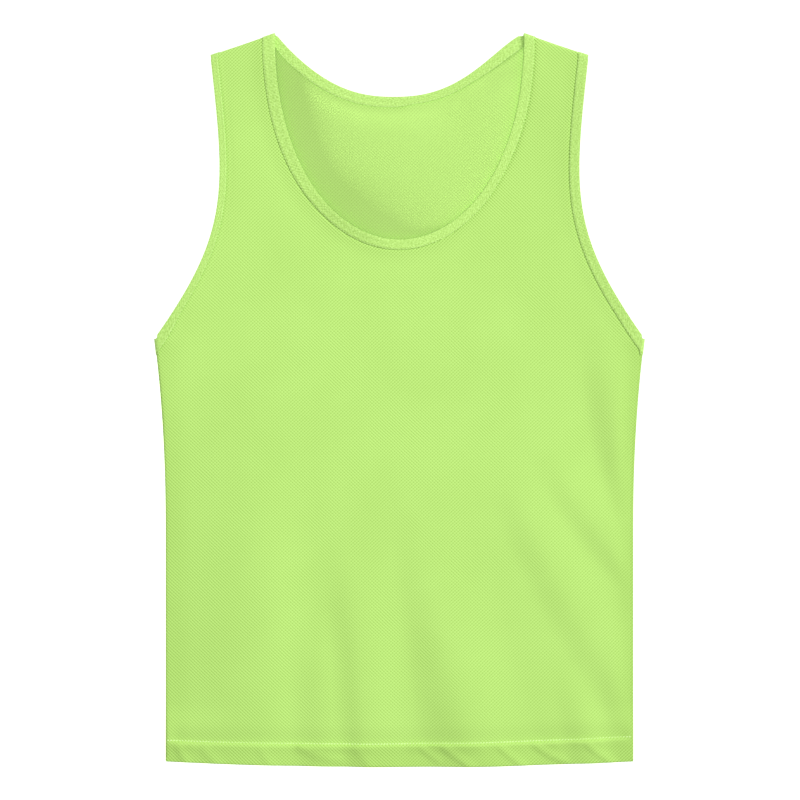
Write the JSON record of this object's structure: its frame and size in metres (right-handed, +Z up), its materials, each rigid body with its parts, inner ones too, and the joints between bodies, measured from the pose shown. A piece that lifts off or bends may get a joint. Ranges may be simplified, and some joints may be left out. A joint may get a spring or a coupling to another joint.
{
  "type": "training bib",
  "caption": "Sleeveless training bib of mesh knit, laid flat with its front up: a scoop neck and armholes bound with folded strips, and a turned hem.",
  "frame": {"origin": "the middle of the laid garment's outline, on the surface that it lies on", "axes": "+X towards the wearer's left side, which is on the right as seen from above; +Y from the hem to the neck; +Z up from the surface, out of the front"},
  "size_m": [0.455, 0.679, 0.0101],
  "materials": {
    "mesh_knit": "matt fine mesh knit with a faint sheen",
    "binding": "matt smooth knit strip, folded"
  },
  "bodies": {
    "root": {"front_panel": "mesh_knit", "back_panel": "mesh_knit", "neck_binding": "binding", "left_armhole_binding": "binding", "right_armhole_binding": "binding"}
  },
  "joints": []
}
